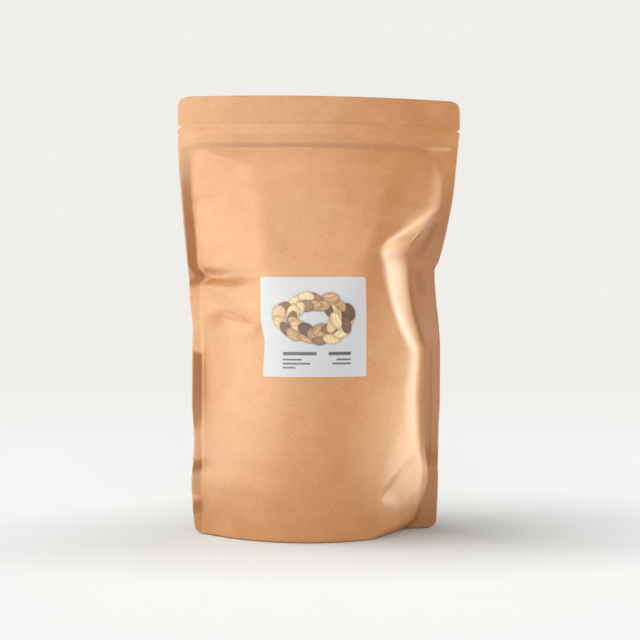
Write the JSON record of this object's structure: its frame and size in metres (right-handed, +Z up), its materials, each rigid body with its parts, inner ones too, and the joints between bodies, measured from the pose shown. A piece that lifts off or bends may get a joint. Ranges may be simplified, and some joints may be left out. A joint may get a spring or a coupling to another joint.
{
  "type": "filled stand-up pouch",
  "caption": "Filled and sealed kraft-paper stand-up pouch with side seals, tear notches, a press-to-close zip, a bottom gusset, a square paper label and dried mushroom caps inside.",
  "frame": {"origin": "on the table, under the middle of the pouch's box", "axes": "+Z up; the label faces -Y; +X to the right as seen from the front"},
  "size_m": [0.1896, 0.083, 0.288],
  "materials": {
    "kraft_paper": "satin, lightly mottled brown kraft with a thin gloss film",
    "label_paper": "satin white, printed with a plain garland of seeds and leaves above plain bars",
    "zip_film": "clear satin film",
    "dried_mushroom": "dry, wrinkled, dull"
  },
  "bodies": {
    "root": {"front_panel": "kraft_paper", "back_panel": "kraft_paper", "bottom_gusset": "kraft_paper", "label": "label_paper", "zip_track_front": "zip_film", "zip_track_back": "zip_film", "cap_01": "dried_mushroom", "cap_02": "dried_mushroom", "cap_03": "dried_mushroom", "cap_04": "dried_mushroom", "cap_05": "dried_mushroom", "cap_06": "dried_mushroom", "cap_07": "dried_mushroom", "cap_08": "dried_mushroom", "cap_09": "dried_mushroom", "cap_10": "dried_mushroom", "cap_11": "dried_mushroom", "cap_12": "dried_mushroom", "cap_13": "dried_mushroom", "cap_14": "dried_mushroom", "cap_15": "dried_mushroom", "cap_16": "dried_mushroom", "cap_17": "dried_mushroom", "cap_18": "dried_mushroom", "cap_19": "dried_mushroom", "cap_20": "dried_mushroom", "cap_21": "dried_mushroom", "cap_22": "dried_mushroom", "cap_23": "dried_mushroom", "cap_24": "dried_mushroom", "cap_25": "dried_mushroom", "cap_26": "dried_mushroom", "cap_27": "dried_mushroom", "cap_28": "dried_mushroom", "cap_29": "dried_mushroom", "cap_30": "dried_mushroom", "cap_31": "dried_mushroom", "cap_32": "dried_mushroom", "cap_33": "dried_mushroom", "cap_34": "dried_mushroom", "cap_35": "dried_mushroom", "cap_36": "dried_mushroom", "cap_37": "dried_mushroom", "cap_38": "dried_mushroom", "cap_39": "dried_mushroom", "cap_40": "dried_mushroom", "cap_41": "dried_mushroom", "cap_42": "dried_mushroom"}
  },
  "joints": []
}
